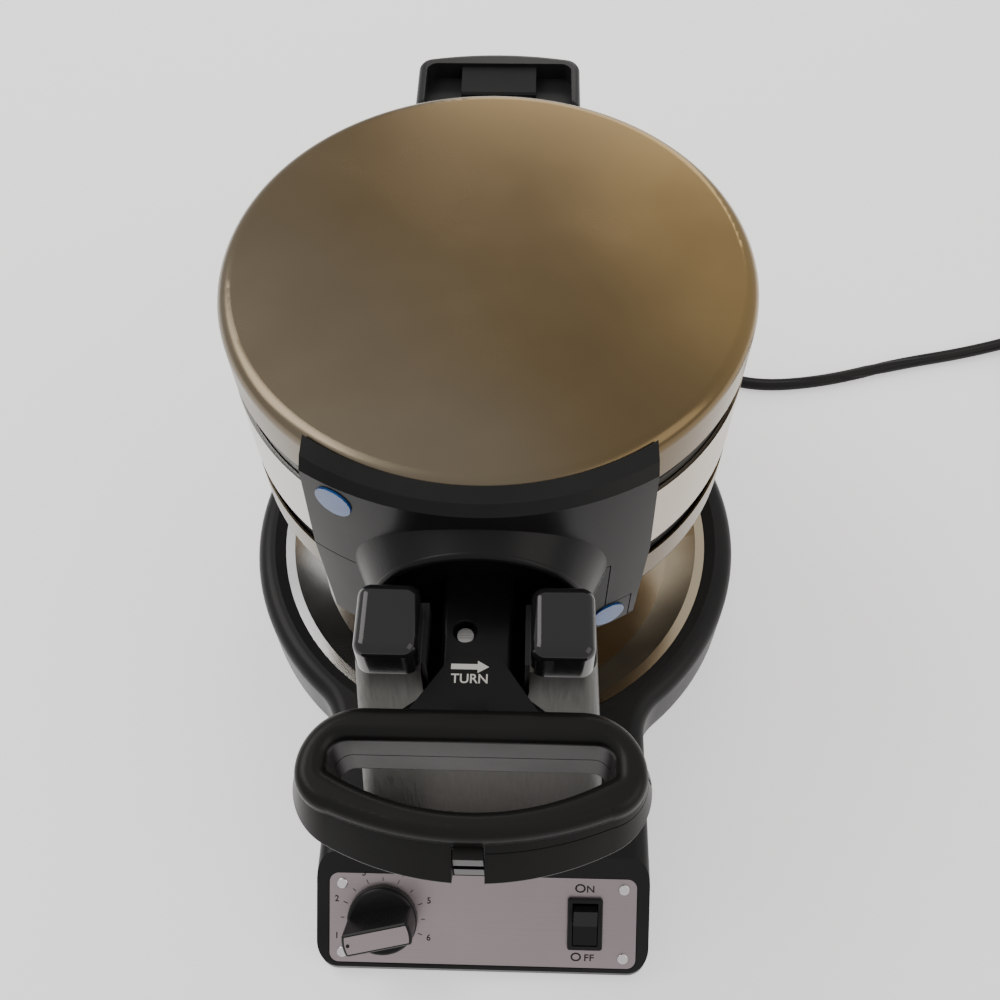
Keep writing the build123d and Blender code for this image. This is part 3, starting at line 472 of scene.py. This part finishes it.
machined_steel = metal("machined_steel", (0.50, 0.49, 0.48), (0.40, 0.39, 0.38), 0.22, 0.40)
bright_zinc = metal("bright_zinc", (0.58, 0.58, 0.56), (0.50, 0.51, 0.47), 0.30, 0.50, lines=(60.0, 60.0, 60.0))
plug_brass = metal("plug_brass", (0.72, 0.56, 0.28), (0.60, 0.45, 0.22), 0.20, 0.38)
for name in ("head_shaft", "shaft_collar", "upper_hinge_pin", "lower_hinge_pin", "hinge_block", "upper_hinge_arm",
             "lower_hinge_arm", "pedestal_screws", "upper_neck_screw", "lower_neck_screw", "plate_spacers"):
    dress(name, machined_steel)
for name in ("bottom_cover", "dial_control"):
    dress(name, bright_zinc)
dress("plug_blades", plug_brass)


# The base: an injection-moulded black housing with a fine grain, on four rubber feet. The tower behind
# and the nylon bush and cradle liner that carry the head are moulded too.
housing_black = plastic("housing_black", (0.014, 0.014, 0.0145), (0.020, 0.020, 0.020), 0.30, 0.42)
tower_black = plastic("tower_black", (0.013, 0.013, 0.0135), (0.022, 0.022, 0.022), 0.34, 0.46)
foot_rubber = plastic("foot_rubber", (0.018, 0.018, 0.018), (0.03, 0.03, 0.03), 0.65, 0.85,
                      grain=500.0, bump=0.4)
nylon = plastic("bearing_nylon", (0.025, 0.025, 0.026), (0.035, 0.035, 0.035), 0.40, 0.55)
dress("base_housing", housing_black)
dress("rear_tower", tower_black)
dress("rubber_feet", foot_rubber)
for name in ("rear_bush", "cradle_liner"):
    dress(name, nylon)


# The drip tray: a spun stainless pan, polished, with fine rings from the lathe. Its colour runs from bluish silver on
# its left to bronze on its right, a painted reflection of warm brown surroundings.
def build_spun_steel():
    """Shader group for polished sheet: rings about the upright axis, and a painted reflection: a colour that changes
    from side to side.
    """
    group = bpy.data.node_groups.new("spun_steel", "ShaderNodeTree")
    add_group_input(group, "Place", "NodeSocketVector", None)
    add_group_input(group, "Left colour", "NodeSocketColor", (0.6, 0.6, 0.6, 1))
    add_group_input(group, "Right colour", "NodeSocketColor", (0.5, 0.4, 0.3, 1))
    add_group_input(group, "Middle colour", "NodeSocketColor", (0.5, 0.5, 0.5, 1))
    add_group_input(group, "Tint way", "NodeSocketVector", (5.0, 0.0, 0.0))
    add_group_input(group, "Ring size", "NodeSocketFloat", 900.0)
    add_group_input(group, "Smooth", "NodeSocketFloat", 0.12)
    add_group_input(group, "Rough", "NodeSocketFloat", 0.26)
    add_finish_outputs(group)
    given = group.nodes.new("NodeGroupInput")
    made = group.nodes.new("NodeGroupOutput")
    place = given.outputs["Place"]
    flat = group.nodes.new("ShaderNodeVectorMath")
    flat.operation = "MULTIPLY"
    flat.inputs[1].default_value = (1.0, 1.0, 0.0)
    group.links.new(place, flat.inputs[0])
    distance = group.nodes.new("ShaderNodeVectorMath")
    distance.operation = "LENGTH"
    group.links.new(flat.outputs[0], distance.inputs[0])
    upright = group.nodes.new("ShaderNodeSeparateXYZ")
    group.links.new(place, upright.inputs[0])
    ring_place = group.nodes.new("ShaderNodeCombineXYZ")
    group.links.new(distance.outputs["Value"], ring_place.inputs["X"])
    group.links.new(upright.outputs["Z"], ring_place.inputs["Z"])
    rings = noise(group, ring_place.outputs[0], given.outputs["Ring size"], 3.0, 0.6)
    smudges = noise(group, place, 16.0, 4.0)
    wander = noise(group, place, 6.0, 2.0)
    # Painted reflection: the colour runs from the left colour through the middle one to the right one along the given
    # way, standing in for warm surroundings reflected in the steel.
    across = group.nodes.new("ShaderNodeVectorMath")
    across.operation = "DOT_PRODUCT"
    group.links.new(place, across.inputs[0])
    group.links.new(given.outputs["Tint way"], across.inputs[1])
    shifted = group.nodes.new("ShaderNodeMath")
    shifted.operation = "MULTIPLY_ADD"
    shifted.inputs[1].default_value = 0.8
    group.links.new(wander, shifted.inputs[0])
    group.links.new(across.outputs["Value"], shifted.inputs[2])
    for_left = group.nodes.new("ShaderNodeMapRange")
    for_left.interpolation_type = "SMOOTHSTEP"
    for_left.inputs["From Min"].default_value = -0.1
    for_left.inputs["From Max"].default_value = 0.4
    for_right = group.nodes.new("ShaderNodeMapRange")
    for_right.interpolation_type = "SMOOTHSTEP"
    for_right.inputs["From Min"].default_value = 0.4
    for_right.inputs["From Max"].default_value = 0.9
    group.links.new(shifted.outputs[0], for_left.inputs["Value"])
    group.links.new(shifted.outputs[0], for_right.inputs["Value"])
    tint = blend_colours(group, for_left.outputs["Result"], given.outputs["Left colour"],
                         given.outputs["Middle colour"])
    tint = blend_colours(group, for_right.outputs["Result"], tint, given.outputs["Right colour"])
    group.links.new(tint, made.inputs["Colour"])
    group.links.new(between(group, smudges, given.outputs["Smooth"], given.outputs["Rough"]),
                    made.inputs["Roughness"])
    group.links.new(rings, made.inputs["Height"])
    return group


spun_steel = build_spun_steel()


def sheet_steel(name, left, middle, right, way, smooth, rough, bump=0.06, rings=900.0):
    """A polished stainless sheet finish, its colour changing from side to side as a painted reflection."""
    return new_finish(name, spun_steel, {"Left colour": (*left, 1), "Middle colour": (*middle, 1),
                                         "Right colour": (*right, 1), "Tint way": way, "Ring size": rings,
                                         "Smooth": smooth, "Rough": rough}, bump, Metallic=1.0)


# Silver to bronze across the tray: painted reflection.
tray_steel = sheet_steel("tray_steel", (0.66, 0.66, 0.66), (0.50, 0.45, 0.38), (0.42, 0.35, 0.25),
                         (6.0, 0.0, 0.0), 0.10, 0.22)
dress("drip_tray", tray_steel)


# The head's stainless sheets. Each lid is a drawn shell and the ring between them is rolled. The lids are painted dark
# bronze, from grey on the left to straw gold at the far right, and the ring from silver to beige: a painted reflection
# of warm brown surroundings.
# Dark bronze lids and silver-to-beige ring: painted reflection of the surroundings.
lid_steel = sheet_steel("lid_steel", (0.155, 0.128, 0.092), (0.125, 0.088, 0.045),
                        (0.23, 0.155, 0.065), (3.5, 2.5, 0.0), 0.16, 0.30)
ring_steel = sheet_steel("ring_steel", (0.60, 0.59, 0.57), (0.55, 0.51, 0.45), (0.50, 0.43, 0.33),
                         (5.0, 0.0, 0.0), 0.14, 0.26)
for name in ("upper_lid_cover", "lower_lid_cover"):
    dress(name, lid_steel)
dress("middle_ring", ring_steel)


# The four cast waffle plates have a dark non-stick coat. Between and behind them lie sheathed heating
# elements, darkened by heat, and a ceramic cut-out or thermostat for each.
coat = plastic("non_stick_coat", (0.020, 0.020, 0.021), (0.032, 0.031, 0.030), 0.34, 0.52,
               grain=1600.0, patch=24.0, bump=0.35, Metallic=0.35)
sheath = metal("element_sheath", (0.16, 0.15, 0.15), (0.24, 0.20, 0.18), 0.40, 0.60, patch=40.0)
ceramic = plastic("ceramic", (0.62, 0.60, 0.56), (0.55, 0.52, 0.47), 0.45, 0.60, grain=1200.0)
for name in ("middle_plate_upper", "middle_plate_lower", "upper_lid_plate", "lower_lid_plate"):
    dress(name, coat)
    dress(name + "_rim", coat)
for name in ("middle_element", "upper_lid_element", "lower_lid_element"):
    dress(name, sheath)
for name in ("thermal_fuse", "upper_lid_thermostat", "lower_lid_thermostat"):
    dress(name, ceramic)


# The front column is sheet with a satin grey coat brushed upwards; its colour is darkened nearly to black as a painted
# reflection of the dark handle and blocks around it. Two polished black blocks cap the arms of its cradle.
# Very dark grey here is painted reflection of the dark parts around the column.
column_grey = metal("column_grey", (0.070, 0.068, 0.062), (0.050, 0.048, 0.044), 0.34, 0.46,
                    lines=(900.0, 900.0, 25.0), patch=9.0, bump=0.2)
block_gloss = plastic("block_gloss", (0.010, 0.010, 0.0105), (0.013, 0.012, 0.012), 0.10, 0.20,
                      grain=160.0, bump=0.05, Coat_Weight=0.5, Coat_Roughness=0.08)
dress("front_pedestal", column_grey)
for name in ("cradle_block_left", "cradle_block_right"):
    dress(name, block_gloss)


# The head's front mouldings, necks and handle loops are heat-proof black plastic with a soft sheen. The
# signal lenses are clear blue.
moulding_black = plastic("moulding_black", (0.007, 0.007, 0.007), (0.012, 0.012, 0.012), 0.24, 0.38, bump=0.18)
handle_black = plastic("handle_black", (0.008, 0.008, 0.0075), (0.013, 0.0125, 0.012), 0.28, 0.42, bump=0.22)
for half in ("upper", "lower"):
    dress(half + "_front_panel", moulding_black)
    dress(half + "_neck", moulding_black)
    dress(half + "_handle", handle_black)
lens_blue = plastic("lens_blue", (0.03, 0.17, 0.62), (0.05, 0.28, 0.80), 0.08, 0.16, grain=300.0, patch=220.0,
                    bump=0.3, Transmission_Weight=0.6, IOR=1.45, Coat_Weight=0.6, Coat_Roughness=0.05)
for name in ("upper_lens", "lower_lens"):
    dress(name, lens_blue)


# The control plate is brushed steel held by four domed rivets, with the dial and the switch in it. Its colour is
# darkened as a painted reflection and shade of the dark handle above it. Its figures and words are printed in black.
# Darkened plate colour: painted reflection and shade of the handle overhead.
plate_brushed = metal("plate_brushed", (0.34, 0.285, 0.295), (0.28, 0.235, 0.245), 0.34, 0.50,
                      lines=(14.0, 1500.0, 1500.0), patch=8.0, bump=0.12)
rivet_bright = metal("rivet_bright", (0.66, 0.62, 0.64), (0.60, 0.56, 0.58), 0.16, 0.28)
knob_black = plastic("knob_black", (0.012, 0.012, 0.0125), (0.020, 0.020, 0.020), 0.26, 0.40)
rocker_gloss = plastic("rocker_gloss", (0.010, 0.010, 0.010), (0.014, 0.014, 0.014), 0.16, 0.28, bump=0.08)
dress("control_plate", plate_brushed)
dress("plate_rivets", rivet_bright)
dress("knob_insert", plate_brushed)
dress("dial_knob", knob_black)
dress("switch_bezel", knob_black)
dress("switch_rocker", rocker_gloss)
board_green = plastic("board_green", (0.03, 0.16, 0.07), (0.04, 0.20, 0.09), 0.35, 0.50)
dress("control_board", board_green)

plate_low, plate_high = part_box("control_plate")
slope = math.radians(37.0)
plate_thickness = 0.0008
print_height = 0.00008
print_lift = 0.00002
plate_middle = (plate_low + plate_high) / 2
plate_turn = Matrix.Rotation(slope, 4, "X")
face_lift = Matrix.Translation((0, 0, plate_thickness / 2 + print_lift))
plate_face = Matrix.Translation(plate_middle) @ plate_turn @ face_lift
dial_x = -0.043
switch_x = 0.044
print_black = plastic("print_black", (0.015, 0.014, 0.015), (0.03, 0.028, 0.03), 0.45, 0.60)


def lettering(words, size, x, y, wide=1.0):
    """Words as a flat printed mesh about a point of the plate."""
    data = bpy.data.curves.new("words", "FONT")
    data.body = words
    data.size = size
    data.align_x = "CENTER"
    data.align_y = "CENTER"
    data.extrude = print_height / 2
    data.offset = size * 0.012
    thing = bpy.data.objects.new("words", data)
    bpy.context.collection.objects.link(thing)
    mesh = as_mesh(thing)
    bpy.data.objects.remove(thing)
    mesh.transform(Matrix.Translation((x, y, print_height / 2)) @ Matrix.Diagonal((wide, 1, 1, 1)))
    return mesh


def bar(shape, length, width, place):
    """A printed bar, its length along the place's own Y."""
    size = Matrix.Diagonal((width, length, print_height, 1))
    bmesh.ops.create_cube(shape, size=1.0, matrix=place @ Matrix.Translation((0, 0, print_height / 2)) @ size)


def finished_piece(name, shape, place, material, body):
    """Make a piece from a bmesh, moved to its place, dressed and put on its body."""
    mesh = bpy.data.meshes.new(name)
    shape.to_mesh(mesh)
    shape.free()
    mesh.transform(place)
    mesh.materials.append(material)
    piece = bpy.data.objects.new(name, mesh)
    bpy.context.collection.objects.link(piece)
    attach(piece, body)
    return piece


tick_radius = 0.0174
figure_radius = 0.0215
figure_size = 0.0038
dot_reach = 0.0122
dot_radius = 0.0008
shape = bmesh.new()
for k in range(11):
    angle = math.radians(112.5 - 22.5 * k)
    place = Matrix.Translation((dial_x, 0, 0)) @ Matrix.Rotation(angle, 4, "Z")
    bar(shape, 0.0020 if k % 2 == 0 else 0.0016, 0.0003, place @ Matrix.Translation((0, tick_radius, 0)))
for k in range(6):
    angle = math.radians(112.5 - 45.0 * k)
    shape.from_mesh(lettering(str(k + 1), figure_size, dial_x - math.sin(angle) * figure_radius,
                              math.cos(angle) * figure_radius))
finished_piece("dial_figures", shape, plate_face, print_black, "root_base")

pointer = math.radians(103.0)
strip_height = max((plate_face.inverted() @ v.co).z for v in nodes["knob_insert"].data.vertices)
shape = bmesh.new()
bmesh.ops.create_cone(shape, segments=24, radius1=dot_radius, radius2=dot_radius, depth=print_height, cap_ends=True,
                      matrix=Matrix.Translation((dial_x - dot_reach * math.sin(pointer), dot_reach * math.cos(pointer),
                                                 strip_height + print_height / 2 + print_lift)))
finished_piece("pointer_dot", shape, plate_face, print_black, "knob")

shape = bmesh.new()
shape.from_mesh(lettering("O", 0.0052, switch_x - 0.0022, 0.0152, 1.15))
shape.from_mesh(lettering("N", 0.0042, switch_x + 0.0022, 0.0150, 1.15))
shape.from_mesh(lettering("O", 0.0052, switch_x - 0.0036, -0.0152, 1.15))
shape.from_mesh(lettering("FF", 0.0042, switch_x + 0.0020, -0.0154, 1.15))
finished_piece("switch_words", shape, plate_face, print_black, "root_base")


# The sign on the neck: an arrow to the right over the word TURN, printed in pale grey on the raised plinth.
print_pale = plastic("print_pale", (0.50, 0.49, 0.46), (0.42, 0.41, 0.38), 0.45, 0.60)
neck_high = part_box("upper_neck")[1]
sign_place = Matrix.Translation((-0.0008, -0.12806, neck_high.z + print_lift))
arrow_half = 0.0059
head_radius = 0.00237
shaft_length = 2 * arrow_half - 1.5 * head_radius
shape = bmesh.new()
bar(shape, shaft_length, 0.0018, Matrix.Translation((-arrow_half + shaft_length / 2, 0, 0)) @
    Matrix.Rotation(math.radians(90), 4, "Z"))
bmesh.ops.create_cone(shape, segments=3, radius1=head_radius, radius2=head_radius, depth=print_height,
                      cap_ends=True, matrix=Matrix.Translation((arrow_half - head_radius, 0, print_height / 2)) @
                      Matrix.Rotation(math.radians(-90), 4, "Z"))
shape.from_mesh(lettering("TURN", 0.0043, 0, -0.0041))
finished_piece("turn_sign", shape, sign_place, print_pale, "upper_lid")
